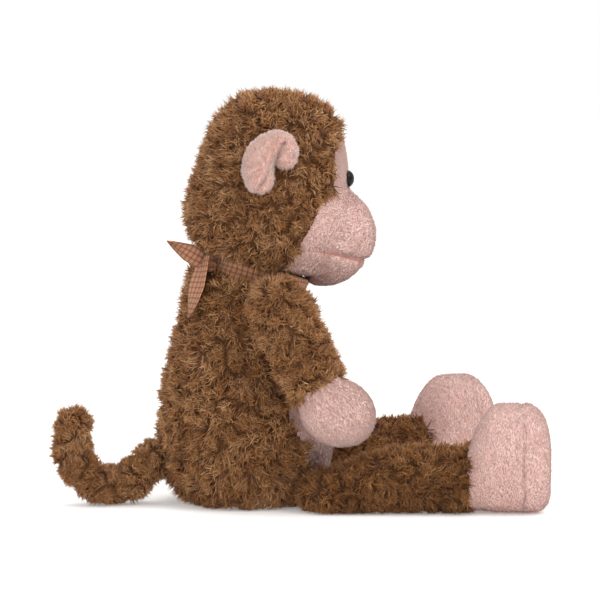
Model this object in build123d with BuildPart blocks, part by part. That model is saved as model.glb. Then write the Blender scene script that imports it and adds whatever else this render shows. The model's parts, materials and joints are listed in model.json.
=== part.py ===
"""Sitting stuffed monkey with a neckerchief: sewn covers, stuffings, safety eyes and limb joints.

The monkey faces +X, its left side is +Y, and it sits on the XY plane.  The origin is the centre
of the flat seat under the body.
"""

import os
from math import cos, radians, sin, sqrt

from build123d import *

os.makedirs("parts", exist_ok=True)

# Cloth and clearances, in millimetres
CLOTH = 2.0  # plush cloth with the root of its pile
GAP = 0.3  # air between two pieces of one limb or of the head
PIVOT_GAP = 0.9  # air round a limb's ball top in the recess of the body
FLOOR_GAP = 0.4  # limbs lie this far above the floor
KNOT_RADIUS = 3.5  # knotted thread that ties a limb on

# Body
BODY_RADIUS = 62.0
BELLY_HEIGHT = 44.0  # level of the greatest girth
SEAT_RADIUS = 38.0
SHOULDER_RADIUS = 45.0  # body radius at the shoulders
COLLAR_RADIUS = 38.0  # body radius at the neck seam
BELLY_PANEL_WIDTH = 112.0
BELLY_PANEL_HEIGHT = 96.0
BELLY_PANEL_MIDDLE = 66.0
BEAN_BAG_RADIUS = 30.0
BEAN_BAG_HEIGHT = 13.0
BEAN_BAG_ROUND = 5.2

# Neck: its middle, its forward lean and the seam planes below and above the middle
NECK_HEIGHT = 166.0
NECK_FORWARD = 6.0
NECK_LEAN = 17.0
NECK_RADIUS = 33.5
NECK_SEAM_BELOW = 8.0
NECK_SEAM_ABOVE = 8.5
SHOULDER_DROP = 19.0  # shoulder pivots below the middle of the neck

# Head
HEAD_RADIUS = 56.0
HEAD_CROWN = 70.0  # from the middle of the head to the crown
HEAD_JAW = 56.0  # from the middle of the head down to the seam
HEAD_LEAN = 7.0
BROW_WIDTH_SHARE = 0.72  # width of the brow and of the jaw as a share of the head's radius
BROW_RISE_SHARE = 0.77  # height of the brow as a share of the crown's
BROW_INSET_SHARE = 0.6  # how far an inset lowers the brow
HEAD_FORWARD = 12.0  # middle of the head ahead of the neck
HEAD_RISE = 59.0  # middle of the head above the neck
FACE_WIDTH = 80.0
FACE_HEIGHT = 70.0
FACE_RISE = 9.0  # middle of the face panel above the middle of the head
MUZZLE_RADIUS = 37.0
MUZZLE_DEPTH = 36.0  # from the middle of the muzzle to its front
MUZZLE_FORWARD = 38.5  # from the middle of the head
MUZZLE_DROP = 32.0
MUZZLE_SEAM_BACK = 12.5  # seam with the head, behind the middle of the muzzle
MOUTH_DROP = 12.0  # mouth line below the middle of the muzzle
MOUTH_CORNER = 3.6  # ends of the mouth ahead of the middle of the muzzle
MOUTH_THREAD = 1.6

# Safety eyes
EYE_RADIUS = 6.0
EYE_BULGE = 4.5
EYE_SPACING = 36.0
EYE_RISE = 10.0  # above the middle of the head
SHANK_RADIUS = 1.6
SHANK_LENGTH = 9.0
WASHER_RADIUS = 6.5
WASHER_THICKNESS = 2.0

# Ears
EAR_RADIUS = 21.5
EAR_THICKNESS = 4.0
EAR_DEPTH = 15.0  # from the side of the head outwards
EAR_RISE = 24.0  # above the middle of the head
EAR_SETBACK = 13.0  # behind the middle of the head
EAR_NOTCH = 15.0
EAR_INSET = 8.6  # middle of the ear's cup inside the side of the head

# Neckerchief
SCARF_THICKNESS = 2.6
SCARF_HEIGHT = 6.6
SCARF_KNOT = 9.0
SCARF_KNOT_ANGLE = 205.0
SCARF_END_THICKNESS = 1.4
BACK_END_LENGTH = 32.0
BACK_END_WIDTH = 11.0
HANGING_END_LENGTH = 32.0
HANGING_END_WIDTH = 16.0
HANGING_END_TURN = 6.0  # round the neck from the knot
HANGING_END_CLEAR = 5.5  # outside the collar
HANGING_END_SLOPE = 0.24
BACK_END_RISE = 0.55
END_WIDEST = 0.55  # share of an end's length where it is widest
END_START_SHARE = 0.2  # half its width at the knot, as a share of its greatest width

# Arms and hands
ARM_RADIUS = 19.0
CUFF_RADIUS = 18.5
ARM_SINK = 3.0  # how deep the arm's ball top sits in the body
SHOULDER_ANGLE = 80.0  # round the body from straight ahead
HAND_LENGTH = 56.0
HAND_WIDTH = 48.0
HAND_REST_GAP = 4.5  # hand above the thigh
HAND_FORWARD = 39.0  # from the shoulder pivot
HAND_OUTWARD = 20.0
HAND_SLOPE = 24.0
WRIST_BACK = 12.0
WRIST_UP = 13.0

# Legs and feet
LEG_RADIUS = 22.5
ANKLE_RADIUS = 21.0
LEG_LENGTH = 100.0  # hip pivot to the back of the foot
LEG_SINK = 9.5
HIP_ANGLE = 50.0
LEG_SPLAY = 14.0
FOOT_HEIGHT = 74.0
FOOT_WIDTH = 58.0
FOOT_LENGTH = 57.0
FOOT_HEEL_ROUND = 19.0
FOOT_SOLE_ROUND = 11.0
SOLE_DEPTH = 18.0

# Tail: down to the floor, one bend, then a short upright end
TAIL_RADIUS = 12.0
TAIL_SINK = 4.5
TAIL_HEIGHT = 33.0
TAIL_DROP_ANGLE = 45.0
TAIL_RUN = 14.0
TAIL_BEND_RADIUS = 29.0
TAIL_BEND = 140.0
TAIL_END = 12.0

# Travel of a leg that the body leaves room for, in degrees
LEG_DOWN = -80.0
LEG_IN = -8.0

SIDES = (("left", 1), ("right", -1))
THROUGH = 400.0  # longer than the monkey, for cuts that run right through

# Places worked out from the sizes
SHOULDER_HEIGHT = NECK_HEIGHT - SHOULDER_DROP
NECK = Vector(NECK_FORWARD, 0, NECK_HEIGHT)
NECK_AXIS = Vector(sin(radians(NECK_LEAN)), 0, cos(radians(NECK_LEAN)))
NECK_PLANE = Plane(origin=NECK, x_dir=(cos(radians(NECK_LEAN)), 0, -sin(radians(NECK_LEAN))), z_dir=NECK_AXIS)
HEAD = NECK + Vector(HEAD_FORWARD, 0, HEAD_RISE)
HEAD_AXIS = Vector(sin(radians(HEAD_LEAN)), 0, cos(radians(HEAD_LEAN)))
MUZZLE = HEAD + Vector(MUZZLE_FORWARD, 0, -MUZZLE_DROP)
HIP_HEIGHT = LEG_RADIUS + FLOOR_GAP
HAND_HEIGHT = HIP_HEIGHT + LEG_RADIUS + HAND_REST_GAP + HAND_WIDTH / 2
TAIL_ROOT = Vector(-(BODY_RADIUS + TAIL_RADIUS - TAIL_SINK), 0, TAIL_HEIGHT)


def round_body(distance, angle, height):
    """A point at a distance from the body's axis, an angle from straight ahead and a height."""
    return Vector(distance * cos(radians(angle)), distance * sin(radians(angle)), height)


def shoulder(side):
    """The pivot of an arm."""
    return round_body(SHOULDER_RADIUS + ARM_RADIUS - ARM_SINK, side * SHOULDER_ANGLE, SHOULDER_HEIGHT)


def hip(side):
    """The pivot of a leg."""
    return round_body(BODY_RADIUS + LEG_RADIUS - LEG_SINK, side * HIP_ANGLE, HIP_HEIGHT)


def hand_middle(side):
    """The middle of a hand, which lies just above the thigh."""
    pivot = shoulder(side)
    return Vector(pivot.X + HAND_FORWARD, pivot.Y + side * HAND_OUTWARD, HAND_HEIGHT)


def wrist(side):
    """The end of the arm's own line, inside the hand."""
    return hand_middle(side) + Vector(-WRIST_BACK, 0, WRIST_UP)


def arm_line(side):
    """The direction of an arm, from its shoulder to its wrist."""
    return (wrist(side) - shoulder(side)).normalized()


def leg_line(side):
    """The direction of a leg, level and turned outwards."""
    return Vector(cos(radians(LEG_SPLAY)), side * sin(radians(LEG_SPLAY)), 0)


def spread_axis(line, side):
    """The axis that swings a limb outwards from the middle of the body."""
    return line.cross(Vector(0, side, 0)).normalized()


def body_solid(inset):
    """The pear-shaped body, cut off square to the neck, inset from the cover's outside."""
    with BuildPart() as body:
        with BuildSketch(Plane.XZ):
            with BuildLine():
                side_line = Spline(
                    (SEAT_RADIUS - inset, inset),
                    (BODY_RADIUS - inset, BELLY_HEIGHT),
                    (SHOULDER_RADIUS - inset, SHOULDER_HEIGHT),
                    (COLLAR_RADIUS - inset, NECK_HEIGHT + NECK_SEAM_BELOW),
                    tangents=((1, 0.45), (-0.4, 1)),
                )
                Line(side_line @ 1, (0, NECK_HEIGHT + NECK_SEAM_BELOW))
                Line((0, NECK_HEIGHT + NECK_SEAM_BELOW), (0, inset))
                Line((0, inset), side_line @ 0)
            make_face()
        revolve(axis=Axis.Z)
        split(bisect_by=NECK_PLANE.offset(-NECK_SEAM_BELOW - inset), keep=Keep.BOTTOM)
    return body.part


def head_egg(inset):
    """The whole egg of the head, inset from the cover's outside."""
    brow = BROW_WIDTH_SHARE * HEAD_RADIUS - inset
    brow_rise = BROW_RISE_SHARE * HEAD_CROWN - BROW_INSET_SHARE * inset
    ahead = (cos(radians(HEAD_LEAN)), 0, -sin(radians(HEAD_LEAN)))
    with BuildPart() as egg:
        with BuildSketch(Plane(origin=HEAD, x_dir=ahead, z_dir=(0, -1, 0))):
            with BuildLine():
                cheek = Spline(
                    (0, HEAD_CROWN - inset),
                    (brow, brow_rise),
                    (HEAD_RADIUS - inset, 0),
                    (brow, -HEAD_JAW),
                    tangents=((1, 0), (-0.75, -1)),
                )
                Line(cheek @ 1, (0, -HEAD_JAW))
                Line((0, -HEAD_JAW), cheek @ 0)
            make_face()
        revolve(axis=Axis(HEAD, HEAD_AXIS))
    return egg.part


def head_solid(inset):
    """The head, cut off square to the neck and hollowed for the ball of the neck."""
    with BuildPart() as head:
        add(head_egg(inset))
        split(bisect_by=NECK_PLANE.offset(NECK_SEAM_ABOVE + inset), keep=Keep.TOP)
        with Locations(NECK):
            Sphere(NECK_RADIUS + PIVOT_GAP + inset, mode=Mode.SUBTRACT)
    return head.part


def muzzle_solid(inset):
    """The round muzzle, an oval turned about its own forward line and cut off at its seam."""
    ahead = Plane(origin=MUZZLE, x_dir=(1, 0, 0), z_dir=(0, -1, 0))
    with BuildPart() as muzzle:
        with BuildSketch(ahead):
            Ellipse(MUZZLE_DEPTH - inset, MUZZLE_RADIUS - inset)
            with Locations((0, -MUZZLE_RADIUS)):
                Rectangle(3 * MUZZLE_DEPTH, 2 * MUZZLE_RADIUS, mode=Mode.SUBTRACT)
            with Locations((-MUZZLE_SEAM_BACK - MUZZLE_DEPTH + min(inset, 0), 0)):
                Rectangle(2 * MUZZLE_DEPTH, 3 * MUZZLE_RADIUS, mode=Mode.SUBTRACT)
        revolve(axis=Axis(MUZZLE, (1, 0, 0)))
    return muzzle.part


def limb_solid(pivot, line, length, top_radius, end_radius, inset):
    """A straight limb with a ball top at its pivot and a flat end."""
    with BuildPart() as limb:
        with BuildSketch(Plane(origin=pivot, x_dir=line, z_dir=line.cross(Vector(0, 0, 1)))):
            with BuildLine():
                CenterArc((0, 0), top_radius - inset, 90, 90)
                Line((0, top_radius - inset), (length, end_radius - inset))
                Line((length, end_radius - inset), (length, 0))
                Line((length, 0), (inset - top_radius, 0))
            make_face()
        revolve(axis=Axis(pivot, line))
    return limb.part


def arm_solid(side, inset):
    """An arm without its hand."""
    length = (wrist(side) - shoulder(side)).length
    return limb_solid(shoulder(side), arm_line(side), length, ARM_RADIUS, CUFF_RADIUS, inset)


def leg_solid(side, inset):
    """A leg without its foot, running on into the foot."""
    length = LEG_LENGTH + FOOT_HEEL_ROUND
    return limb_solid(hip(side), leg_line(side), length, LEG_RADIUS, ANKLE_RADIUS, inset)


def hand_solid(side, inset):
    """A mitten hand: an oval turned about a line that slopes down to the front."""
    line = Vector(cos(radians(HAND_SLOPE)), 0, -sin(radians(HAND_SLOPE)))
    with BuildPart() as hand:
        with BuildSketch(Plane(origin=hand_middle(side), x_dir=line, z_dir=(0, 1, 0))):
            Ellipse(HAND_LENGTH / 2 - inset, HAND_WIDTH / 2 - inset)
            with Locations((0, -HAND_WIDTH)):
                Rectangle(2 * HAND_LENGTH, 2 * HAND_WIDTH, mode=Mode.SUBTRACT)
        revolve(axis=Axis(hand_middle(side), line))
    return hand.part


def foot_plane(side, distance):
    """The plane across a leg at a distance from its pivot, centred on the foot."""
    centre = hip(side) + leg_line(side) * distance
    return Plane(
        origin=(centre.X, centre.Y, FOOT_HEIGHT / 2 + FLOOR_GAP),
        x_dir=leg_line(side).cross(Vector(0, 0, 1)),
        z_dir=leg_line(side),
    )


def foot_solid(side, inset):
    """A tall foot: an oval block along the leg with a round heel and a rounded sole."""
    with BuildPart() as foot:
        with BuildSketch(foot_plane(side, LEG_LENGTH + inset)):
            Ellipse(FOOT_WIDTH / 2 - inset, FOOT_HEIGHT / 2 - inset)
        extrude(amount=FOOT_LENGTH - 2 * inset)
        rims = foot.edges().sort_by(Axis(hip(side), leg_line(side)))
        fillet(rims[0], radius=FOOT_HEEL_ROUND - inset)
        rims = foot.edges().sort_by(Axis(hip(side), leg_line(side)))
        fillet(rims[-1], radius=FOOT_SOLE_ROUND - inset)
    return foot.part


def tail_path():
    """The middle line of the tail, from its root to the middle of its round tip."""
    with BuildLine(Plane(origin=TAIL_ROOT, x_dir=(-1, 0, 0), z_dir=(0, 1, 0))) as path:
        run = PolarLine((0, 0), TAIL_RUN, angle=-TAIL_DROP_ANGLE)
        bend = JernArc(run @ 1, run % 1, TAIL_BEND_RADIUS, TAIL_BEND)
        PolarLine(bend @ 1, TAIL_END, direction=bend % 1)
    return path.line


def tail_solid(inset):
    """The tail: a round tube along its line with a ball at each end."""
    path = tail_path()
    with BuildPart() as tail:
        with BuildSketch(Plane(origin=path @ 0, z_dir=path % 0)):
            Circle(TAIL_RADIUS - inset)
        sweep(path=path)
        with Locations(path @ 0, path @ 1):
            Sphere(TAIL_RADIUS - inset)
    return tail.part


def knot_room(pivot):
    """The room round the knotted thread at a limb's pivot."""
    with BuildPart() as room:
        with Locations(pivot):
            Sphere(KNOT_RADIUS + GAP)
    return room.part


def hollowed_body(inset, grow):
    """The body less the room that the arms, legs and tail need in it over their travel."""
    swing = Vector(0, -1, 0)
    with BuildPart() as hollowed:
        add(body_solid(inset))
        for name, side in SIDES:
            add(arm_solid(side, -grow), mode=Mode.SUBTRACT)
            leg = leg_solid(side, -grow)
            leg_spread = Axis(hip(side), spread_axis(leg_line(side), side))
            for swung in (0, 0.5 * LEG_DOWN, LEG_DOWN):
                posed_leg = leg.rotate(leg_spread, LEG_IN / 2).rotate(Axis(hip(side), swing), swung)
                add(posed_leg, mode=Mode.SUBTRACT)
        with Locations(TAIL_ROOT):
            Sphere(TAIL_RADIUS + grow, mode=Mode.SUBTRACT)
    return hollowed.part


def belly_window(grow):
    """The oval of the pink belly panel, as a cut from the middle of the body forwards."""
    with BuildPart() as window:
        with BuildSketch(Plane(origin=(0, 0, BELLY_PANEL_MIDDLE), x_dir=(0, 1, 0), z_dir=(1, 0, 0))):
            Ellipse(BELLY_PANEL_WIDTH / 2 + grow, BELLY_PANEL_HEIGHT / 2 + grow)
        extrude(amount=THROUGH)
    return window.part


def face_window(grow):
    """The oval of the pink face panel, as a cut from the middle of the head forwards."""
    centre = HEAD + Vector(0, 0, FACE_RISE)
    with BuildPart() as window:
        with BuildSketch(Plane(origin=centre, x_dir=(0, 1, 0), z_dir=(1, 0, 0)).offset(HEAD_RADIUS / 2)):
            Ellipse(FACE_WIDTH / 2 + grow, FACE_HEIGHT / 2 + grow)
        extrude(amount=THROUGH)
    return window.part


def eye_plane(side):
    """The plane that touches the face at an eye, with its normal out of the face."""
    gaze = Axis(HEAD + Vector(0, side * EYE_SPACING / 2, EYE_RISE), (1, 0, 0))
    hits = head_solid(0).find_intersection_points(gaze)
    point, normal = max(hits, key=lambda hit: hit[0].X)
    return Plane(origin=point + normal * GAP / 2, z_dir=normal)


EYE_PLANES = {name: eye_plane(side) for name, side in SIDES}


def finish(piece, name):
    """Name a sub-part and write it as its own STEP file."""
    piece.part.label = name
    export_step(piece.part, f"parts/{name}.step")


# Body: brown cover, pink belly panel, stuffing and the bag of beans that weighs the seat
with BuildPart() as body_skin:
    add(hollowed_body(0, PIVOT_GAP))
    add(hollowed_body(CLOTH, PIVOT_GAP + CLOTH), mode=Mode.SUBTRACT)

with BuildPart() as body_cover:
    add(body_skin)
    add(belly_window(GAP), mode=Mode.SUBTRACT)
finish(body_cover, "body_cover")

with BuildPart() as belly_panel:
    add(body_skin)
    add(belly_window(0), mode=Mode.INTERSECT)
finish(belly_panel, "belly_panel")

with BuildPart() as body_stuffing:
    add(hollowed_body(CLOTH + GAP, PIVOT_GAP + CLOTH + GAP))
    with Locations((0, 0, CLOTH + GAP)):
        Cylinder(
            BEAN_BAG_RADIUS + GAP,
            BEAN_BAG_HEIGHT + GAP,
            align=(Align.CENTER, Align.CENTER, Align.MIN),
            mode=Mode.SUBTRACT,
        )
finish(body_stuffing, "body_stuffing")

with BuildPart() as seat_bean_bag:
    with Locations((0, 0, CLOTH + GAP)):
        Cylinder(BEAN_BAG_RADIUS, BEAN_BAG_HEIGHT, align=(Align.CENTER, Align.CENTER, Align.MIN))
    fillet(seat_bean_bag.edges().filter_by(GeomType.CIRCLE), radius=BEAN_BAG_ROUND)
finish(seat_bean_bag, "seat_bean_bag")


# Neck: a short tube on the body's seam with a ball top inside the head
def neck_solid(inset):
    """The neck's tube and ball, inset from its cloth's outside."""
    with BuildPart() as neck:
        with BuildSketch(NECK_PLANE.offset(-NECK_SEAM_BELOW + GAP + inset)):
            Circle(NECK_RADIUS - inset)
        extrude(amount=NECK_SEAM_BELOW - GAP - inset)
        with Locations(NECK):
            Sphere(NECK_RADIUS - inset)
        split(bisect_by=NECK_PLANE.offset(-NECK_SEAM_BELOW + GAP + inset), keep=Keep.TOP)
    return neck.part


with BuildPart() as neck_cover:
    add(neck_solid(0))
    add(neck_solid(CLOTH), mode=Mode.SUBTRACT)
finish(neck_cover, "neck_cover")

with BuildPart() as neck_stuffing:
    add(neck_solid(CLOTH + GAP))
finish(neck_stuffing, "neck_stuffing")


# Head: brown cover, pink face panel, stuffing
muzzle_room = muzzle_solid(-GAP)
with BuildPart() as head_skin:
    add(head_solid(0))
    add(head_solid(CLOTH), mode=Mode.SUBTRACT)
    add(muzzle_room, mode=Mode.SUBTRACT)

with BuildPart() as head_cover:
    add(head_skin)
    add(face_window(GAP), mode=Mode.SUBTRACT)
finish(head_cover, "head_cover")

with BuildPart() as face_panel:
    add(head_skin)
    add(face_window(0), mode=Mode.INTERSECT)
    for plane in EYE_PLANES.values():
        with BuildSketch(plane):
            Circle(SHANK_RADIUS + GAP)
        extrude(amount=SHANK_LENGTH, both=True, mode=Mode.SUBTRACT)
finish(face_panel, "face_panel")

with BuildPart() as head_stuffing:
    add(head_solid(CLOTH + GAP))
    add(muzzle_room, mode=Mode.SUBTRACT)
    for plane in EYE_PLANES.values():
        with BuildSketch(plane):
            Circle(SHANK_RADIUS + GAP)
        extrude(amount=-SHANK_LENGTH - GAP, mode=Mode.SUBTRACT)
        with BuildSketch(plane):
            Circle(WASHER_RADIUS + GAP)
        extrude(amount=-CLOTH - WASHER_THICKNESS - 5 * GAP, mode=Mode.SUBTRACT)
finish(head_stuffing, "head_stuffing")

with BuildPart() as muzzle_cover:
    add(muzzle_solid(0))
    add(muzzle_solid(CLOTH), mode=Mode.SUBTRACT)
finish(muzzle_cover, "muzzle_cover")

with BuildPart() as muzzle_stuffing:
    add(muzzle_solid(CLOTH + GAP))
finish(muzzle_stuffing, "muzzle_stuffing")

# Mouth: a thread round the front of the muzzle, just clear of its cloth
mouth_share = sqrt(1 - ((MOUTH_DROP - MOUTH_THREAD) / MUZZLE_RADIUS) ** 2)
mouth_reach = MUZZLE_DEPTH * mouth_share + GAP
mouth_half_width = MUZZLE_RADIUS * mouth_share + GAP
with BuildPart() as mouth_thread:
    with BuildSketch(Plane(origin=MUZZLE - Vector(0, 0, MOUTH_DROP), z_dir=(0, 0, 1))):
        Ellipse(mouth_reach + MOUTH_THREAD, mouth_half_width + MOUTH_THREAD)
        Ellipse(mouth_reach, mouth_half_width, mode=Mode.SUBTRACT)
        with Locations((MOUTH_CORNER - MUZZLE_DEPTH, 0)):
            Rectangle(2 * MUZZLE_DEPTH, 3 * MUZZLE_RADIUS, mode=Mode.SUBTRACT)
    extrude(amount=MOUTH_THREAD)
finish(mouth_thread, "mouth_thread")

for name, side in SIDES:
    # Safety eye: a dome with its shank, held by a washer behind the cloth
    with BuildPart() as eye:
        touch = EYE_PLANES[name]
        with BuildSketch(Plane(origin=touch.origin, x_dir=touch.z_dir, z_dir=touch.x_dir)):
            Ellipse(EYE_BULGE, EYE_RADIUS)
            with Locations((-EYE_RADIUS, 0), (0, -EYE_RADIUS)):
                Rectangle(2 * EYE_RADIUS, 2 * EYE_RADIUS, mode=Mode.SUBTRACT)
        revolve(axis=Axis(touch.origin, touch.z_dir))
        with BuildSketch(touch):
            Circle(SHANK_RADIUS)
        extrude(amount=-SHANK_LENGTH)
    finish(eye, f"eye_{name}")

    with BuildPart() as eye_washer:
        with BuildSketch(EYE_PLANES[name].offset(-CLOTH - 4 * GAP - WASHER_THICKNESS)):
            Circle(WASHER_RADIUS)
            Circle(SHANK_RADIUS + GAP / 2, mode=Mode.SUBTRACT)
        extrude(amount=WASHER_THICKNESS)
    finish(eye_washer, f"eye_washer_{name}")

    # Ear: a thick cup of two cloths, open outwards and notched below
    ear_middle = HEAD + Vector(-EAR_SETBACK, side * (HEAD_RADIUS - EAR_INSET), EAR_RISE)
    with BuildPart() as ear:
        with Locations(ear_middle):
            Sphere(EAR_RADIUS)
        with Locations(ear_middle + Vector(0, side * EAR_THICKNESS, 0)):
            Sphere(EAR_RADIUS - EAR_THICKNESS, mode=Mode.SUBTRACT)
        add(head_egg(-GAP), mode=Mode.SUBTRACT)
        with Locations(ear_middle + Vector(0, side * (EAR_DEPTH + THROUGH / 2), 0)):
            Box(THROUGH, THROUGH, THROUGH, mode=Mode.SUBTRACT)
        with Locations(ear_middle - Vector(0, side * THROUGH / 2, 0)):
            Box(THROUGH, THROUGH, THROUGH, mode=Mode.SUBTRACT)
        with Locations(ear_middle - Vector(0, 0, EAR_RADIUS)):
            Box(EAR_NOTCH, THROUGH, EAR_RADIUS, mode=Mode.SUBTRACT)
    finish(ear, f"ear_{name}")

# Neckerchief: a folded band round the neck, its knot behind, and two pointed ends
scarf_radius = NECK_RADIUS + PIVOT_GAP
with BuildPart() as scarf_band:
    with BuildSketch(NECK_PLANE.offset(-NECK_SEAM_BELOW + GAP)):
        Circle(scarf_radius + SCARF_THICKNESS)
        Circle(scarf_radius, mode=Mode.SUBTRACT)
    extrude(amount=SCARF_HEIGHT)
finish(scarf_band, "scarf_band")

knot_line = Vector(cos(radians(SCARF_KNOT_ANGLE)), sin(radians(SCARF_KNOT_ANGLE)), 0)
knot_distance = scarf_radius + SCARF_THICKNESS + GAP + SCARF_KNOT / 2
knot_middle = NECK_PLANE.from_local_coords(
    (
        knot_distance * cos(radians(SCARF_KNOT_ANGLE)),
        knot_distance * sin(radians(SCARF_KNOT_ANGLE)),
        -NECK_SEAM_BELOW + GAP + SCARF_KNOT / 2,
    )
)
with BuildPart() as scarf_knot:
    with Locations(knot_middle):
        Sphere(SCARF_KNOT / 2)
finish(scarf_knot, "scarf_knot")


def kite(plane, length, width):
    """A pointed cloth end that starts narrow at the knot, on a plane whose X runs to its point."""
    with BuildPart() as end:
        with BuildSketch(plane):
            with BuildLine():
                Polyline(
                    (0, -width * END_START_SHARE),
                    (length * END_WIDEST, -width / 2),
                    (length, 0),
                    (length * END_WIDEST, width / 2),
                    (0, width * END_START_SHARE),
                    close=True,
                )
            make_face()
        extrude(amount=SCARF_END_THICKNESS)
    return end.part


with BuildPart() as scarf_end_back:
    back_line = Vector(knot_line.X, knot_line.Y, BACK_END_RISE).normalized()
    back_start = knot_middle + back_line * (SCARF_KNOT / 2 + GAP)
    level = back_line.cross(Vector(0, 0, 1)).normalized()
    add(kite(Plane(origin=back_start, x_dir=back_line, z_dir=level), BACK_END_LENGTH, BACK_END_WIDTH))
finish(scarf_end_back, "scarf_end_back")

with BuildPart() as scarf_end_hanging:
    end_angle = SCARF_KNOT_ANGLE + HANGING_END_TURN
    out = Vector(cos(radians(end_angle)), sin(radians(end_angle)), 0)
    top = round_body(COLLAR_RADIUS + HANGING_END_CLEAR, end_angle, knot_middle.Z - SCARF_KNOT / 2 - GAP)
    down = Vector(out.X * HANGING_END_SLOPE, out.Y * HANGING_END_SLOPE, -1).normalized()
    face = down.cross(Vector(-out.Y, out.X, 0)).normalized()
    add(kite(Plane(origin=top, x_dir=down, z_dir=face), HANGING_END_LENGTH, HANGING_END_WIDTH))
finish(scarf_end_hanging, "scarf_end_hanging")

for name, side in SIDES:
    # Arm: brown cover and stuffing with room for the knot, pink hand and its stuffing
    with BuildPart() as arm_cover:
        add(arm_solid(side, 0))
        add(arm_solid(side, CLOTH), mode=Mode.SUBTRACT)
        add(hand_solid(side, -GAP), mode=Mode.SUBTRACT)
    finish(arm_cover, f"arm_cover_{name}")

    with BuildPart() as arm_stuffing:
        add(arm_solid(side, CLOTH + GAP))
        add(hand_solid(side, -GAP), mode=Mode.SUBTRACT)
        add(knot_room(shoulder(side)), mode=Mode.SUBTRACT)
    finish(arm_stuffing, f"arm_stuffing_{name}")

    with BuildPart() as shoulder_knot:
        with Locations(shoulder(side)):
            Sphere(KNOT_RADIUS)
    finish(shoulder_knot, f"shoulder_knot_{name}")

    with BuildPart() as hand_cover:
        add(hand_solid(side, 0))
        add(hand_solid(side, CLOTH), mode=Mode.SUBTRACT)
    finish(hand_cover, f"hand_cover_{name}")

    with BuildPart() as hand_stuffing:
        add(hand_solid(side, CLOTH + GAP))
    finish(hand_stuffing, f"hand_stuffing_{name}")

    # Leg: brown cover and stuffing with room for the knot, pink foot with its sole
    with BuildPart() as leg_cover:
        add(leg_solid(side, 0))
        add(leg_solid(side, CLOTH), mode=Mode.SUBTRACT)
        add(foot_solid(side, -GAP), mode=Mode.SUBTRACT)
    finish(leg_cover, f"leg_cover_{name}")

    with BuildPart() as leg_stuffing:
        add(leg_solid(side, CLOTH + GAP))
        add(foot_solid(side, -GAP), mode=Mode.SUBTRACT)
        add(knot_room(hip(side)), mode=Mode.SUBTRACT)
    finish(leg_stuffing, f"leg_stuffing_{name}")

    with BuildPart() as hip_knot:
        with Locations(hip(side)):
            Sphere(KNOT_RADIUS)
    finish(hip_knot, f"hip_knot_{name}")

    sole_seam = foot_plane(side, LEG_LENGTH + FOOT_LENGTH - SOLE_DEPTH)
    with BuildPart() as foot_cover:
        add(foot_solid(side, 0))
        add(foot_solid(side, CLOTH), mode=Mode.SUBTRACT)
        split(bisect_by=sole_seam, keep=Keep.BOTTOM)
    finish(foot_cover, f"foot_cover_{name}")

    with BuildPart() as foot_sole:
        add(foot_solid(side, 0))
        add(foot_solid(side, CLOTH), mode=Mode.SUBTRACT)
        split(bisect_by=sole_seam.offset(GAP), keep=Keep.TOP)
    finish(foot_sole, f"foot_sole_{name}")

    with BuildPart() as foot_stuffing:
        add(foot_solid(side, CLOTH + GAP))
    finish(foot_stuffing, f"foot_stuffing_{name}")

# Tail: brown cover, stuffing and the knot at its root
with BuildPart() as tail_cover:
    add(tail_solid(0))
    add(tail_solid(CLOTH), mode=Mode.SUBTRACT)
finish(tail_cover, "tail_cover")

with BuildPart() as tail_stuffing:
    add(tail_solid(CLOTH + GAP))
    add(knot_room(TAIL_ROOT), mode=Mode.SUBTRACT)
finish(tail_stuffing, "tail_stuffing")

with BuildPart() as tail_knot:
    with Locations(TAIL_ROOT):
        Sphere(KNOT_RADIUS)
finish(tail_knot, "tail_knot")
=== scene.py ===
"""Sitting stuffed monkey: shaggy brown plush, short pink pile, plastic eyes and a checked neckerchief."""

import json
import math

import bmesh
import bpy
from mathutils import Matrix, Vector
from mathutils.bvhtree import BVHTree


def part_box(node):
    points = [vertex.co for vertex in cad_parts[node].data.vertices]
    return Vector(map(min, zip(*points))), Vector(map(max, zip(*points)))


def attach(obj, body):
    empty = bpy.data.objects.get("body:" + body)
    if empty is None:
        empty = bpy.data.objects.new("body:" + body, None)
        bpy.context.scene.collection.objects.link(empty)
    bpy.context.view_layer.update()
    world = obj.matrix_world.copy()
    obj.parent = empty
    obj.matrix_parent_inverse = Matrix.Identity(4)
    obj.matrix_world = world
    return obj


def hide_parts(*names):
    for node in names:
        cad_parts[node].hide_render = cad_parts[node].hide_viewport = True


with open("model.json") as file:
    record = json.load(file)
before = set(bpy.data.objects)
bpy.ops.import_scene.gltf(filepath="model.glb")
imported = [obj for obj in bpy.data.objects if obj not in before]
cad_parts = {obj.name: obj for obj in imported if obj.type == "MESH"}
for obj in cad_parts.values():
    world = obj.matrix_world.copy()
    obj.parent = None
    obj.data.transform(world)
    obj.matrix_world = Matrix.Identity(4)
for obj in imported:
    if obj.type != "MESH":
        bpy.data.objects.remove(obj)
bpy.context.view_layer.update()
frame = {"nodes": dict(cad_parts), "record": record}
MM = 0.001
SIDES = (("left", 1), ("right", -1))


# ---------------------------------------------------------------- places taken from the frame
def middle(node):
    """The middle of a CAD node's box."""
    low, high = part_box(node)
    return (Vector(low) + Vector(high)) / 2


def joint(name):
    """A joint's record, with its pivot and axis."""
    return next(j for j in frame["record"]["behaviour"]["joints"] if j["name"] == name)


NECK = Vector(joint("head_turn")["pos_m"])
NECK_AXIS = Vector(joint("head_turn")["axis"])
NECK_ACROSS = Vector((0, 1, 0))
NECK_AHEAD = NECK_ACROSS.cross(NECK_AXIS)
CLOTH_THICKNESS = 1.4 * MM
SOLE_SEAM = 139.0  # along a leg from its hip, in millimetres


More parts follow.
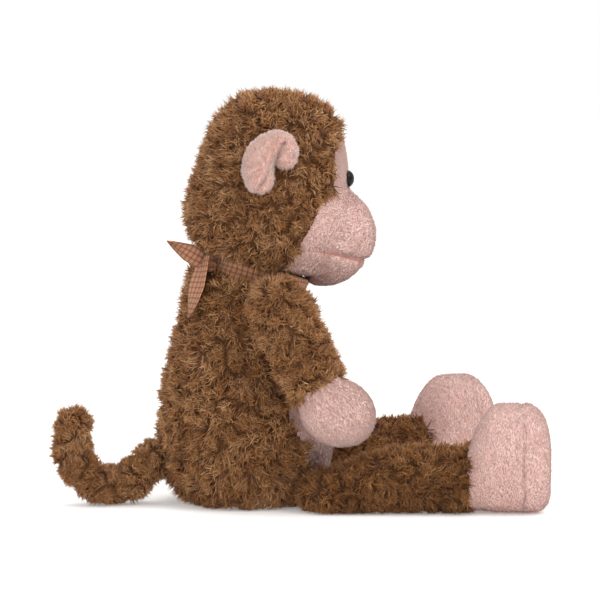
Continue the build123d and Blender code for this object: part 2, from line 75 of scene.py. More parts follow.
# ---------------------------------------------------------------- nodes and colours
def linear(hex_colour):
    """An sRGB hex colour as linear RGBA."""
    channels = [int(hex_colour[i : i + 2], 16) / 255 for i in (1, 3, 5)]
    return tuple(c / 12.92 if c <= 0.04045 else ((c + 0.055) / 1.055) ** 2.4 for c in channels) + (1.0,)


def add(tree, kind, inputs=None, **settings):
    """A node with its settings; an input is a value or a socket to link from."""
    made = tree.nodes.new(kind)
    for key, value in settings.items():
        setattr(made, key, value)
    for key, value in (inputs or {}).items():
        if isinstance(value, bpy.types.NodeSocket):
            tree.links.new(value, made.inputs[key])
        else:
            made.inputs[key].default_value = value
    return made


def ramp(tree, factor, stops):
    """A colour ramp through (place, hex colour) stops."""
    made = add(tree, "ShaderNodeValToRGB", {"Fac": factor})
    elements = made.color_ramp.elements
    while len(elements) < len(stops):
        elements.new(0.5)
    for element, (place, colour) in zip(elements, stops):
        element.position = place
        element.color = linear(colour)
    return made.outputs["Color"]


def new_material(name):
    """An empty material with its shader and output, and its node tree."""
    made = bpy.data.materials.new(name)
    made.use_nodes = True
    tree = made.node_tree
    tree.nodes.clear()
    shader = add(tree, "ShaderNodeBsdfPrincipled")
    add(tree, "ShaderNodeOutputMaterial", {"Surface": shader.outputs["BSDF"]})
    return made, tree, shader


def bumped(tree, shader, height, distance, strength=1.0):
    """Gives a shader a bump from a height, with its depth in metres."""
    bump = add(tree, "ShaderNodeBump", {"Height": height, "Distance": distance, "Strength": strength})
    tree.links.new(bump.outputs["Normal"], shader.inputs["Normal"])


# Long curly acrylic pile: every strand has its own shade of brown, with painted shade that darkens it towards
# the root and its full colour at the tip
def fur_material(name, dark, mid, light, root):
    made, tree, shader = new_material(name)
    place = add(tree, "ShaderNodeUVMap", uv_map="OFBake")
    split = add(tree, "ShaderNodeSeparateXYZ", {"Vector": place.outputs["UV"]})
    shade = ramp(tree, split.outputs["X"], ((0.0, dark), (0.5, mid), (1.0, light)))
    # painted shade: each lock is darker towards its root, where the locks shade one another
    along = ramp(tree, split.outputs["Y"], ((0.0, root), (0.5, "#d8d4d0"), (1.0, "#ffffff")))
    colour = add(
        tree, "ShaderNodeMix", data_type="RGBA", blend_type="MULTIPLY",
        inputs={0: 1.0, 6: shade, 7: along},
    )
    tree.links.new(colour.outputs[2], shader.inputs["Base Color"])
    shader.inputs["Roughness"].default_value = 0.62
    shader.inputs["Sheen Weight"].default_value = 0.12
    shader.inputs["Sheen Roughness"].default_value = 0.4
    shader.inputs["Specular IOR Level"].default_value = 0.2
    return made


# Knitted backing of the plush, seen only between the locks: dark, dull, with 2 mm knitting
def backing_material(name, dark, light):
    made, tree, shader = new_material(name)
    place = add(tree, "ShaderNodeTexCoord").outputs["Object"]
    patches = add(tree, "ShaderNodeTexNoise", {"Vector": place, "Scale": 120.0, "Detail": 4.0})
    colour = ramp(tree, patches.outputs["Fac"], ((0.3, dark), (0.7, light)))
    tree.links.new(colour, shader.inputs["Base Color"])
    knit = add(tree, "ShaderNodeTexNoise", {"Vector": place, "Scale": 500.0, "Detail": 3.0})
    bumped(tree, shader, knit.outputs["Fac"], 1.0 * MM)
    shader.inputs["Roughness"].default_value = 0.9
    shader.inputs["Specular IOR Level"].default_value = 0.1
    return made


# Short brushed pile: a soft, slightly blotchy nap of 0.6 mm fibres that catches light at the edge
def pile_material(name, deep, mid, light):
    made, tree, shader = new_material(name)
    place = add(tree, "ShaderNodeTexCoord").outputs["Object"]
    blotches = add(tree, "ShaderNodeTexNoise",
                   {"Vector": place, "Scale": 90.0, "Detail": 5.0, "Roughness": 0.65})
    fibres = add(tree, "ShaderNodeTexNoise",
                 {"Vector": place, "Scale": 900.0, "Detail": 3.0, "Roughness": 0.7})
    both = add(
        tree, "ShaderNodeMath", {0: blotches.outputs["Fac"], 1: fibres.outputs["Fac"]}, operation="ADD",
    )
    half = add(tree, "ShaderNodeMath", {0: both.outputs[0], 1: 0.5}, operation="MULTIPLY")
    colour = ramp(tree, half.outputs[0], ((0.34, deep), (0.5, mid), (0.66, light)))
    tree.links.new(colour, shader.inputs["Base Color"])
    bumped(tree, shader, half.outputs[0], 0.35 * MM, 0.6)
    shader.inputs["Roughness"].default_value = 0.85
    shader.inputs["Sheen Weight"].default_value = 0.5
    shader.inputs["Sheen Roughness"].default_value = 0.5
    shader.inputs["Specular IOR Level"].default_value = 0.2
    return made


# Yarn-dyed check cotton: plain weave of 0.7 mm threads with darker threads every 4 mm, both ways
def check_material():
    made, tree, shader = new_material("yarn dyed check cotton")
    place = add(tree, "ShaderNodeUVMap", uv_map="Cloth")
    split = add(tree, "ShaderNodeSeparateXYZ", {"Vector": place.outputs["UV"]})
    heights = []
    masks = []
    for axis in ("X", "Y"):
        wave = add(tree, "ShaderNodeMath", {0: split.outputs[axis], 1: math.tau / (0.7 * MM)},
                   operation="MULTIPLY")
        thread = add(tree, "ShaderNodeMath", {0: wave.outputs[0]}, operation="SINE")
        heights.append(thread.outputs[0])
        slow = add(tree, "ShaderNodeMath", {0: split.outputs[axis], 1: math.tau / (4.0 * MM)},
                   operation="MULTIPLY")
        stripe = add(tree, "ShaderNodeMath", {0: slow.outputs[0]}, operation="SINE")
        mask = add(
            tree, "ShaderNodeMapRange",
            {"Value": stripe.outputs[0], "From Min": 0.3, "From Max": 0.7, "To Min": 0.0, "To Max": 0.5},
        )
        masks.append(mask.outputs[0])
    checks = add(tree, "ShaderNodeMath", {0: masks[0], 1: masks[1]}, operation="ADD")
    weave = add(tree, "ShaderNodeMath", {0: heights[0], 1: heights[1]}, operation="MULTIPLY")
    colour = ramp(tree, checks.outputs[0], ((0.0, "#cf8f62"), (0.5, "#a5694a"), (1.0, "#7a4732")))
    tree.links.new(colour, shader.inputs["Base Color"])
    bumped(tree, shader, weave.outputs[0], 0.25 * MM)
    shader.inputs["Roughness"].default_value = 0.8
    shader.inputs["Sheen Weight"].default_value = 0.15
    return made


# Moulded acrylic safety eye: deep black with a faint brown cast and a polished coat
def eye_material():
    made, tree, shader = new_material("polished black acrylic")
    place = add(tree, "ShaderNodeTexCoord").outputs["Object"]
    specks = add(tree, "ShaderNodeTexNoise", {"Vector": place, "Scale": 300.0, "Detail": 2.0})
    colour = ramp(tree, specks.outputs["Fac"], ((0.3, "#0b0807"), (0.7, "#17100c")))
    tree.links.new(colour, shader.inputs["Base Color"])
    shader.inputs["Roughness"].default_value = 0.22
    shader.inputs["Specular IOR Level"].default_value = 0.12
    shader.inputs["Coat Weight"].default_value = 0.12
    shader.inputs["Coat Roughness"].default_value = 0.05
    shader.inputs["IOR"].default_value = 1.49
    return made


# Inner pieces and thread: plain fibres with a fine twist
def thread_material(name, dark, light, scale):
    made, tree, shader = new_material(name)
    place = add(tree, "ShaderNodeTexCoord").outputs["Object"]
    fibres = add(tree, "ShaderNodeTexNoise", {"Vector": place, "Scale": scale, "Detail": 4.0})
    colour = ramp(tree, fibres.outputs["Fac"], ((0.3, dark), (0.7, light)))
    tree.links.new(colour, shader.inputs["Base Color"])
    bumped(tree, shader, fibres.outputs["Fac"], 0.3 * MM)
    shader.inputs["Roughness"].default_value = 0.75
    return made


# The last colour of each pile is the painted shade at the roots of its locks
BROWN_FUR = fur_material("curly acrylic pile brown", "#845328", "#b27b49", "#ebbc8a", "#745b4b")
# The legs' pile: the same brown pile in darker colours
LEG_FUR = fur_material("curly acrylic pile chestnut", "#744620", "#9d6836", "#cf9c64", "#745b4b")
PINK_FUZZ = fur_material("brushed pile fuzz pink", "#d9b3aa", "#dfbfb8", "#e6cbc5", "#f0e6e3")
EAR_FUZZ = fur_material("brushed pile fuzz pale", "#f3cabf", "#fbddd4", "#fff3ee", "#efe2df")
BACKING = backing_material("knitted plush backing", "#4e321b", "#6d4928")
PINK_PILE = pile_material("short brushed pile pink", "#d5a89d", "#dcb6ad", "#e4c6bf")
SOLE_PILE = pile_material("short brushed pile sole", "#d8aca1", "#dfb9b0", "#e6c8c1")
EAR_PILE = pile_material("short brushed pile ear", "#eeb9aa", "#f5c9bc", "#fad8ce")
CHECK = check_material()
EYE = eye_material()
FILLING = thread_material("polyester filling", "#d8d4cc", "#f2efe9", 150.0)
BAG_COTTON = thread_material("plain cotton bag", "#b9ad9c", "#d8cdbd", 400.0)
BROWN_THREAD = thread_material("waxed sewing thread", "#2a190e", "#4a2f1c", 700.0)
# painted shade: the reddish strand in the mouth's crease stands for the crease's shade
MOUTH_CREASE_SHADE = thread_material("stranded embroidery thread", "#c07060", "#d58d7c", 900.0)
WASHER_PLASTIC = thread_material("moulded nylon washer", "#d9d7cf", "#e8e6df", 200.0)


# ---------------------------------------------------------------- mesh helpers
def as_object(name, mesh, *materials):
    """A mesh as an object at the origin."""
    mesh.name = name
    made = bpy.data.objects.new(name, mesh)
    bpy.context.scene.collection.objects.link(made)
    mesh.materials.clear()
    for material in materials:
        mesh.materials.append(material)
    return made


def baked(source, name, *materials):
    """A plain mesh object of what a source object shows with its modifiers; the source goes."""
    graph = bpy.context.evaluated_depsgraph_get()
    graph.update()
    mesh = bpy.data.meshes.new_from_object(source.evaluated_get(graph), preserve_all_data_layers=True,
                                           depsgraph=graph)
    made = as_object(name, mesh, *materials)
    bpy.data.objects.remove(source, do_unlink=True)
    return made


def outer_shell(mesh):
    """Keeps the largest connected piece of a mesh and drops sealed inner walls."""
    work = bmesh.new()
    work.from_mesh(mesh)
    left = set(work.verts)
    islands = []
    while left:
        start = left.pop()
        island = {start}
        edge = [start]
        while edge:
            here = edge.pop()
            for link in here.link_edges:
                there = link.other_vert(here)
                if there not in island:
                    island.add(there)
                    edge.append(there)
        left -= island
        islands.append(island)
    islands.sort(key=len)
    bmesh.ops.delete(work, geom=[v for island in islands[:-1] for v in island], context="VERTS")
    bmesh.ops.recalc_face_normals(work, faces=work.faces)
    work.to_mesh(mesh)
    work.free()


def soft_skin(name, nodes, grow, voxel, smooth, *materials):
    """A smooth soft skin round some CAD solids, grown outwards by a distance."""
    work = bmesh.new()
    for node in nodes:
        work.from_mesh(frame["nodes"][node].data)
    bmesh.ops.remove_doubles(work, verts=work.verts, dist=0.01 * MM)
    mesh = bpy.data.meshes.new(name)
    work.to_mesh(mesh)
    work.free()
    source = as_object(name + "_source", mesh)
    remesh = source.modifiers.new("remesh", "REMESH")
    remesh.mode = "VOXEL"
    remesh.voxel_size = voxel * MM
    first = baked(source, name + "_remeshed")
    outer_shell(first.data)
    soften = first.modifiers.new("soften", "SMOOTH")
    soften.factor = 0.5
    soften.iterations = smooth
    swell = first.modifiers.new("swell", "DISPLACE")
    swell.strength = grow * MM
    swell.mid_level = 0.0
    made = baked(first, name, *materials)
    made.data.shade_smooth()
    return made


def shaped(skin, move):
    """Moves every vertex of a skin to where a rule puts it."""
    for vert in skin.data.vertices:
        vert.co = move(vert.co.copy())
    skin.data.update()


patches = []  # open pieces of skin that pile is planted on, removed at the end


def filling(skin, name, inset, body, *nodes):
    """A closed filling under a whole skin, an even distance inside it, in place of some CAD stuffings."""
    inner = as_object(name + "_source", skin.data.copy())
    shrink = inner.modifiers.new("shrink", "DISPLACE")
    shrink.strength = -inset * MM
    shrink.mid_level = 0.0
    made = baked(inner, name, FILLING)
    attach(made, body)
    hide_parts(*nodes)


def cloth(patch, name, *materials):
    """A patch of skin as closed cloth of its own thickness, laid inwards."""
    source = as_object(name + "_source", patch.data.copy())
    wall = source.modifiers.new("cloth", "SOLIDIFY")
    wall.thickness = CLOTH_THICKNESS
    wall.offset = -1.0
    made = baked(source, name, *materials)
    made.data.shade_smooth()
    return made


def part_of(source, name, keep, *materials):
    """A copy of a skin with only the faces whose middle passes a test."""
    work = bmesh.new()
    work.from_mesh(source.data)
    bmesh.ops.delete(
        work, geom=[f for f in work.faces if not keep(f.calc_center_median())], context="FACES",
    )
    mesh = bpy.data.meshes.new(name)
    work.to_mesh(mesh)
    work.free()
    made = as_object(name, mesh, *materials)
    made.data.shade_smooth()
    patches.append(made)
    return made


# ---------------------------------------------------------------- fur
def strand(name, sides, rings, radius, bend):
    """One lock of pile: a curved spike of unit length along Z, its root open inside the skin."""
    work = bmesh.new()
    uv_layer = work.loops.layers.uv.new("OFBake")
    heights = [i / rings for i in range(rings + 1)]
    circles = []
    for height in heights[:-1]:
        width = radius * (1 - 0.35 * height)
        circles.append(
            [
                work.verts.new((
                    bend * height**2 + width * math.cos(math.tau * k / sides),
                    width * math.sin(math.tau * k / sides),
                    height,
                ))
                for k in range(sides)
            ]
        )
    tip = work.verts.new((bend, 0, 1 - bend / 3))
    for ring, (low, high) in enumerate(zip(circles, circles[1:] + [None])):
        for k in range(sides):
            after = (k + 1) % sides
            if high:
                corners = (low[k], low[after], high[after], high[k])
                marks = ((k, ring), (k + 1, ring), (k + 1, ring + 1), (k, ring + 1))
            else:
                corners = (low[k], low[after], tip)
                marks = ((k, ring), (k + 1, ring), (k + 0.5, ring + 1))
            face = work.faces.new(corners)
            face.smooth = True
            for loop, (u, v) in zip(face.loops, marks):
                loop[uv_layer].uv = (u / sides, v / rings)
    mesh = bpy.data.meshes.new(name)
    work.to_mesh(mesh)
    work.free()
    return as_object(name, mesh)


LOCK = strand("lock_shape", 3, 2, 0.055, 0.45)
FIBRE = strand("fibre_shape", 3, 1, 0.10, 0.25)


def fur_tree():
    """Geometry nodes that plant locks on a skin, gather them in tufts and comb them along a line."""
    tree = bpy.data.node_groups.new("planted pile", "GeometryNodeTree")
    ports = (
        ("Skin", "NodeSocketGeometry"), ("Strand", "NodeSocketObject"), ("Density", "NodeSocketFloat"),
        ("Length", "NodeSocketFloat"), ("Comb", "NodeSocketVector"), ("Lift", "NodeSocketFloat"),
        ("Swirl", "NodeSocketFloat"), ("Tuft Size", "NodeSocketFloat"), ("Tuft Pull", "NodeSocketFloat"),
        ("Curl", "NodeSocketFloat"), ("Seed", "NodeSocketInt"), ("Material", "NodeSocketMaterial"),
    )
    for port, kind in ports:
        tree.interface.new_socket(port, in_out="INPUT", socket_type=kind)
    tree.interface.new_socket("Pile", in_out="OUTPUT", socket_type="NodeSocketGeometry")
    given = add(tree, "NodeGroupInput").outputs

    def vector(operation, first, second=None, scale=None):
        made = add(tree, "ShaderNodeVectorMath", {0: first}, operation=operation)
        if second is not None:
            if isinstance(second, bpy.types.NodeSocket):
                tree.links.new(second, made.inputs[1])
            else:
                made.inputs[1].default_value = second
        if scale is not None:
            if isinstance(scale, bpy.types.NodeSocket):
                tree.links.new(scale, made.inputs["Scale"])
            else:
                made.inputs["Scale"].default_value = scale
        return made.outputs["Value"] if operation == "DOT_PRODUCT" else made.outputs["Vector"]

    planted = add(
        tree, "GeometryNodeDistributePointsOnFaces",
        {"Mesh": given["Skin"], "Density": given["Density"], "Seed": given["Seed"]},
    )
    place = add(tree, "GeometryNodeInputPosition").outputs[0]
    normal = planted.outputs["Normal"]
    combed = vector("SUBTRACT", given["Comb"],
                    vector("SCALE", normal, scale=vector("DOT_PRODUCT", given["Comb"], normal)))
    cell_scale = add(tree, "ShaderNodeMath", {0: 1.0, 1: given["Tuft Size"]}, operation="DIVIDE")
    cells = add(tree, "ShaderNodeTexVoronoi", {"Vector": place, "Scale": cell_scale.outputs[0]})
    swirl_way = vector("SUBTRACT", cells.outputs["Color"], (0.5, 0.5, 0.5))
    swirl_flat = vector("SUBTRACT", swirl_way,
                        vector("SCALE", normal, scale=vector("DOT_PRODUCT", swirl_way, normal)))
    swirl = vector("SCALE", swirl_flat, scale=given["Swirl"])
    to_middle = vector("SCALE", vector("SUBTRACT", cells.outputs["Position"], place),
                       scale=cell_scale.outputs[0])
    tuft = vector("SCALE", to_middle, scale=given["Tuft Pull"])
    heading = vector("ADD", vector("ADD", vector("SCALE", normal, scale=given["Lift"]), combed),
                     vector("ADD", swirl, tuft))
    jitter = add(
        tree, "FunctionNodeRandomValue", {0: (-0.3, -0.3, -0.3), 1: (0.3, 0.3, 0.3), "Seed": 3},
        data_type="FLOAT_VECTOR",
    )
    heading = vector("ADD", heading, jitter.outputs["Value"])
    aimed = add(tree, "FunctionNodeAlignRotationToVector", {"Vector": heading}, axis="Z")
    spin = add(tree, "FunctionNodeRandomValue", {"Min": 0.0, "Max": math.tau, "Seed": 5}, data_type="FLOAT")
    about = add(tree, "ShaderNodeCombineXYZ", {"Z": spin.outputs[1]})
    turn = add(tree, "FunctionNodeEulerToRotation", {0: about.outputs[0]})
    turned = add(tree, "FunctionNodeRotateRotation", {0: aimed.outputs[0], 1: turn.outputs[0]},
                 rotation_space="LOCAL")
    size = add(tree, "FunctionNodeRandomValue", {"Min": 0.7, "Max": 1.25, "Seed": 7}, data_type="FLOAT")
    crown = add(
        tree, "ShaderNodeMapRange",
        {"Value": cells.outputs["Distance"], "From Max": 0.7, "To Min": 1.06, "To Max": 0.9},
    )
    domed = add(tree, "ShaderNodeMath", {0: size.outputs[1], 1: crown.outputs[0]}, operation="MULTIPLY")
    grown = add(tree, "ShaderNodeMath", {0: domed.outputs[0], 1: given["Length"]}, operation="MULTIPLY")

    # The shade of a lock: its own, and what its tuft and its patch of cloth have in common
    own = add(tree, "FunctionNodeRandomValue", {"Min": 0.0, "Max": 0.5, "Seed": 11}, data_type="FLOAT")
    patch = add(tree, "ShaderNodeTexNoise", {"Vector": place, "Scale": 70.0, "Detail": 2.0})
    shared = add(tree, "ShaderNodeMapRange",
                 {"Value": patch.outputs["Fac"], "From Min": 0.3, "From Max": 0.7, "To Max": 0.48})
    shade = add(tree, "ShaderNodeMath", {0: own.outputs[1], 1: shared.outputs[0]}, operation="ADD")
    marked = add(
        tree, "GeometryNodeStoreNamedAttribute",
        {"Geometry": planted.outputs["Points"], "Name": "shade", "Value": shade.outputs[0]},
        data_type="FLOAT", domain="POINT",
    )
    shape = add(tree, "GeometryNodeObjectInfo", {"Object": given["Strand"]})
    placed = add(
        tree, "GeometryNodeInstanceOnPoints",
        {
            "Points": marked.outputs[0], "Instance": shape.outputs["Geometry"],
            "Rotation": turned.outputs[0], "Scale": grown.outputs[0],
        },
    )
    real = add(tree, "GeometryNodeRealizeInstances", {"Geometry": placed.outputs[0]})

    # Curl: neighbouring tips drift the same way
    marks = add(tree, "GeometryNodeInputNamedAttribute", {"Name": "OFBake"}, data_type="FLOAT_VECTOR")
    mark = add(tree, "ShaderNodeSeparateXYZ", {"Vector": marks.outputs[0]})
    drift_noise = add(tree, "ShaderNodeTexNoise", {"Vector": place, "Scale": 190.0, "Detail": 1.0})
    drift = vector("SUBTRACT", drift_noise.outputs["Color"], (0.5, 0.5, 0.5))
    tipness = add(tree, "ShaderNodeMath", {0: mark.outputs["Y"], 1: given["Curl"]}, operation="MULTIPLY")
    curled = add(
        tree, "GeometryNodeSetPosition",
        {"Geometry": real.outputs[0], "Offset": vector("SCALE", drift, scale=tipness.outputs[0])},
    )
    where = add(tree, "ShaderNodeSeparateXYZ", {"Vector": place})
    raised = add(tree, "ShaderNodeMath", {0: where.outputs["Z"], 1: 0.3 * MM}, operation="MAXIMUM")
    on_floor = add(tree, "ShaderNodeCombineXYZ",
                   {"X": where.outputs["X"], "Y": where.outputs["Y"], "Z": raised.outputs[0]})
    rested = add(tree, "GeometryNodeSetPosition",
                 {"Geometry": curled.outputs[0], "Position": on_floor.outputs[0]})

    # The colour's own map: a lock's shade across and root to tip along
    kept = add(tree, "GeometryNodeInputNamedAttribute", {"Name": "shade"}, data_type="FLOAT")
    width = add(tree, "ShaderNodeMath", {0: mark.outputs["X"], 1: 0.015}, operation="MULTIPLY")
    across = add(tree, "ShaderNodeMath", {0: kept.outputs[0], 1: width.outputs[0]}, operation="ADD")
    colour_map = add(tree, "ShaderNodeCombineXYZ", {"X": across.outputs[0], "Y": mark.outputs["Y"]})
    mapped = add(
        tree, "GeometryNodeStoreNamedAttribute",
        {"Geometry": rested.outputs[0], "Name": "OFBake", "Value": colour_map.outputs[0]},
        data_type="FLOAT2", domain="CORNER",
    )
    dropped = add(tree, "GeometryNodeRemoveAttribute", {"Geometry": mapped.outputs[0], "Name": "shade"})
    painted = add(tree, "GeometryNodeSetMaterial",
                  {"Geometry": dropped.outputs[0], "Material": given["Material"]})
    add(tree, "NodeGroupOutput", {"Pile": painted.outputs[0]})
    return tree


FUR_TREE = fur_tree()
SHORT = {"lift": 0.45, "swirl": 0.5, "tuft": 4.0, "pull": 0.25, "curl": 0.6}


def pile(name, skin, body, slot, material, count, length, comb, shape=LOCK, lift=0.62, swirl=1.9, tuft=8.0,
         pull=0.62, curl=5.5, seed=1):
    """Plants about count locks on a skin and returns them as a plain mesh that rides on a body."""
    area = sum(p.area for p in skin.data.polygons)
    source = as_object(name + "_source", skin.data.copy())
    grow = source.modifiers.new("pile", "NODES")
    grow.node_group = FUR_TREE
    sockets = {s.name: s.identifier for s in FUR_TREE.interface.items_tree if s.in_out == "INPUT"}
    values = {
        "Strand": shape, "Density": count / area, "Length": length * MM, "Comb": comb, "Lift": lift,
        "Swirl": swirl, "Tuft Size": tuft * MM, "Tuft Pull": pull, "Curl": curl * MM, "Seed": seed,
        "Material": material,
    }
    for port, value in values.items():
        grow[sockets[port]] = value
    made = baked(source, name, material)
    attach(made, body)
    return made


# ---------------------------------------------------------------- body
def settle(patch, body, node):
    """Makes a patch of skin into closed cloth on its body, in place of its CAD cover."""
    material = patch.data.materials[0]
    skin = cloth(patch, patch.name.replace("_skin", "_cloth"), material)
    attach(skin, body)
    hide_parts(node)


belly_middle = middle("belly_panel")
belly_low, belly_high = (Vector(v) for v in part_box("belly_panel"))
belly_half = (belly_high - belly_low) / 2


def on_belly(point):
    """Whether a point of the body's skin is on the belly panel."""
    across = (point.y - belly_middle.y) / belly_half.y
    up = (point.z - belly_middle.z) / belly_half.z
    return point.x > 0 and across**2 + up**2 < 1.04


whole_body = soft_skin("whole_body", ["body_cover", "belly_panel", "body_stuffing", "seat_bean_bag"], -0.9,
                       3.5, 8)
filling(whole_body, "body_filling", 2.6, "body", "body_stuffing")
body_skin = part_of(whole_body, "body_skin", lambda p: not on_belly(p), BACKING)
belly_skin = part_of(whole_body, "belly_skin", on_belly, PINK_PILE)
bpy.data.objects.remove(whole_body)
settle(body_skin, "body", "body_cover")
settle(belly_skin, "body", "belly_panel")

DOWN = (-0.05, 0.0, -0.45)
waist = middle("body_cover").z
upper = part_of(body_skin, "upper_body", lambda p: p.z >= waist)
lower = part_of(body_skin, "lower_body", lambda p: 3 * MM < p.z < waist)
pile("body_fur_upper", upper, "body", "brown_plush", BROWN_FUR, 20000, 9.0, DOWN, seed=1)
pile("body_fur_lower", lower, "body", "brown_plush", BROWN_FUR, 21500, 9.0, DOWN, seed=2)
pile("belly_fuzz", belly_skin, "body", "pink_plush", PINK_FUZZ, 14000, 2.6, (0, 0, -1), FIBRE, **SHORT,
     seed=3)

# ---------------------------------------------------------------- neck
neck_skin = soft_skin("neck_skin", ["neck_cover", "neck_stuffing"], 0.0, 2.5, 2, BACKING)
patches.append(neck_skin)
settle(neck_skin, "neck", "neck_cover")

# ---------------------------------------------------------------- head
face_low, face_high = (Vector(v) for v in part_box("face_panel"))
muzzle_low, muzzle_high = (Vector(v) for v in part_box("muzzle_cover"))
muzzle_centre = Vector((muzzle_high.x - 36 * MM, 0, (muzzle_low.z + muzzle_high.z) / 2))
MUZZLE_TOP = muzzle_centre.z + 33 * MM
FACE_HALF_WIDTH = (face_high.y - face_low.y) / 2
FACE_HALF_HEIGHT = 38 * MM
face_centre_z = face_high.z + 3 * MM - FACE_HALF_HEIGHT


def on_muzzle(point):
    """Whether a point of the head is ahead of the slanting seam of the muzzle."""
    seam = muzzle_centre.x - 9 * MM + 0.54 * (point.z - MUZZLE_TOP)
    return point.x > seam and point.z < MUZZLE_TOP


def on_face(point):
    """Whether a point of the head's skin is on the face panel."""
    across = point.y / FACE_HALF_WIDTH
    up = (point.z - face_centre_z) / FACE_HALF_HEIGHT
    return point.x > face_low.x - 4 * MM and across**2 + up**2 < 1 and not on_muzzle(point)


def mouth_level(point):
    """The height of the mouth line, which rises from the lips to the corners at the back."""
    back = max(0.0, min(1.0, (muzzle_high.x - point.x) / (58 * MM)))
    return muzzle_centre.z - 19 * MM + 14 * MM * back**1.3


def lips(point):
    """Draws the muzzle in along the mouth and under the nose, and fills the cheeks and the chin."""
    if point.x < muzzle_centre.x - 30 * MM or point.z > MUZZLE_TOP + 2 * MM:
        return point
    out = point - muzzle_centre
    ahead = max(0.0, min(1.0, (point.x - muzzle_centre.x + 26 * MM) / (30 * MM)))
    above = point.z - mouth_level(point)
    crease = math.exp(-((above / (2.6 * MM)) ** 2))
    under = 1 / (1 + math.exp(above / (2.0 * MM)))
    nose_across = math.exp(-((point.y / (2.5 * MM)) ** 2))
    nose_up = math.exp(-(((above - 7 * MM) / (6 * MM)) ** 2))
    nose = nose_across * nose_up * (out.x > 0)
    front = max(0.0, out.x / (36 * MM))
    draw = ahead * (2.2 * crease + 2.0 * under * front + 1.4 * nose) * MM
    cheeks = 0.8 * MM * ahead * math.exp(-(((above - 20 * MM) / (16 * MM)) ** 2))
    return point + out.normalized() * (cheeks - draw)


whole_head = soft_skin(
    "whole_head",
    ["head_cover", "face_panel", "head_stuffing", "muzzle_cover", "muzzle_stuffing", "eye_washer_left",
     "eye_washer_right"],
    -0.4, 2.6, 9,
)
cuts = whole_head.modifiers.new("finer", "SUBSURF")
cuts.subdivision_type = "SIMPLE"
cuts.levels = 1
whole_head = baked(whole_head, "whole_head_fine")
whole_head.data.shade_smooth()
shaped(whole_head, lips)
filling(whole_head, "head_filling", 2.4, "head", "head_stuffing", "muzzle_stuffing")
head_skin = part_of(whole_head, "head_skin", lambda p: not on_face(p) and not on_muzzle(p), BACKING)
face_skin = part_of(whole_head, "face_skin", on_face, PINK_PILE)
muzzle_skin = part_of(whole_head, "muzzle_skin", on_muzzle, PINK_PILE)
bpy.data.objects.remove(whole_head)
settle(head_skin, "head", "head_cover")
settle(face_skin, "head", "face_panel")
settle(muzzle_skin, "head", "muzzle_cover")
furred = part_of(
    head_skin, "furred_head",
    lambda p: (p - NECK).length > 37.0 * MM and not on_face(p - Vector((0, 0, 1 * MM))),
)
pile("head_fur", furred, "head", "brown_plush", BROWN_FUR, 22000, 8.5, (-0.35, 0.0, -0.2), seed=4)
pile("face_fuzz", face_skin, "head", "pink_plush", PINK_FUZZ, 9000, 2.2, (0, 0, 1), FIBRE, **SHORT, seed=5)
pile("muzzle_fuzz", muzzle_skin, "head", "pink_plush", PINK_FUZZ, 22000, 2.2, (-1, 0, -0.3), FIBRE, **SHORT,
     seed=6)


def mouth_line():
    """The mouth: a thin reddish strand laid in the crease of the muzzle from corner to corner, painted shade
    of the crease.
    """
    tree = bmesh.new()
    tree.from_mesh(muzzle_skin.data)
    surface = BVHTree.FromBMesh(tree)
    work = bmesh.new()
    rings = []
    steps = 96
    for i in range(steps + 1):
        angle = math.radians(-118 + 236 * i / steps)
        way = Vector((math.cos(angle), math.sin(angle), 0))
        level = mouth_level(muzzle_centre + way * (34 * MM))
        start = Vector((muzzle_centre.x, 0, level)) + way * (80 * MM)
        hit = surface.ray_cast(start, -way)[0]
        if hit is None:
            continue
        ring = []
        for k in range(8):
            turn = math.tau * k / 8
            thick = 0.55 * MM * (0.25 + 0.75 * min(1.0, i / 4, (steps - i) / 4))
            forward = way * (thick * math.cos(turn) + 0.1 * MM)
            upright = Vector((0, 0, thick * math.sin(turn)))
            ring.append(work.verts.new(hit + forward + upright))
        rings.append(ring)
    for low, high in zip(rings, rings[1:]):
        for k in range(8):
            work.faces.new((low[k], high[k], high[(k + 1) % 8], low[(k + 1) % 8]))
    work.faces.new(rings[0])
    work.faces.new(reversed(rings[-1]))
    bmesh.ops.recalc_face_normals(work, faces=work.faces)
    mesh = bpy.data.meshes.new("mouth_stitch")
    work.to_mesh(mesh)
    work.free()
    tree.free()
    made = as_object("mouth_stitch", mesh, MOUTH_CREASE_SHADE)
    made.data.shade_smooth()
    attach(made, "head")
    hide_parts("mouth_thread")


mouth_line()

